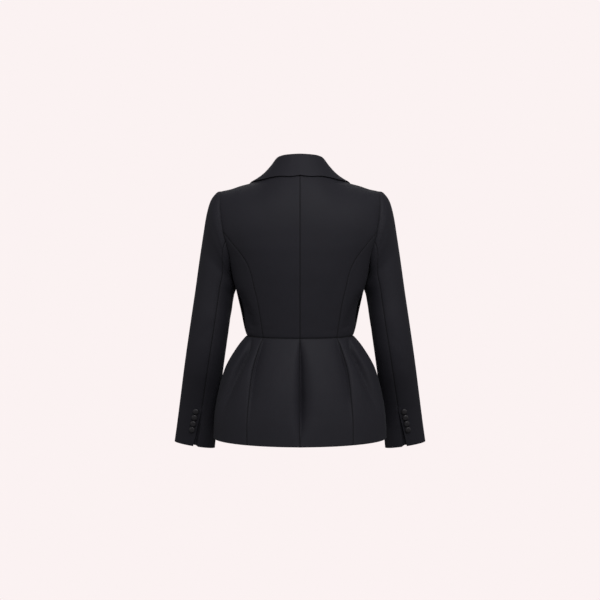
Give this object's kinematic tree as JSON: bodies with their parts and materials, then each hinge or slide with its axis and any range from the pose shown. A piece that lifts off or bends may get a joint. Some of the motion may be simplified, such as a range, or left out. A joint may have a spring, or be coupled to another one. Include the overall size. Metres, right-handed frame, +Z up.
{
  "type": "peplum jacket",
  "caption": "Fitted black tailored jacket with princess seams, a flared pleated peplum, notched collar, two-piece sleeves and covered cuff buttons, in its hollow worn form.",
  "frame": {"origin": "between the shoulders, level with the neck ends of the shoulder seams, where the wearer carries the jacket", "axes": "+Z up along the body, +Y towards the back of the jacket, +X towards the wearer's left"},
  "size_m": [0.604, 0.3004, 0.7013],
  "materials": {
    "suiting": "matte black wool and silk suiting with a fine crepe grain",
    "button_cover": "black satin-faced cloth pulled over a domed button"
  },
  "bodies": {
    "root": {"back_left": "suiting", "side_back_left": "suiting", "side_front_left": "suiting", "front_left": "suiting", "peplum_back_left": "suiting", "peplum_side_back_left": "suiting", "peplum_side_front_left": "suiting", "peplum_front_left": "suiting", "upper_sleeve_left": "suiting", "under_sleeve_left": "suiting", "lapel_left": "suiting", "cuff_button_left_1": "button_cover", "cuff_button_left_2": "button_cover", "cuff_button_left_3": "button_cover", "cuff_button_left_4": "button_cover", "back_right": "suiting", "side_back_right": "suiting", "side_front_right": "suiting", "front_right": "suiting", "peplum_back_right": "suiting", "peplum_side_back_right": "suiting", "peplum_side_front_right": "suiting", "peplum_front_right": "suiting", "upper_sleeve_right": "suiting", "under_sleeve_right": "suiting", "lapel_right": "suiting", "cuff_button_right_1": "button_cover", "cuff_button_right_2": "button_cover", "cuff_button_right_3": "button_cover", "cuff_button_right_4": "button_cover", "collar": "suiting", "front_button": "button_cover"}
  },
  "joints": []
}
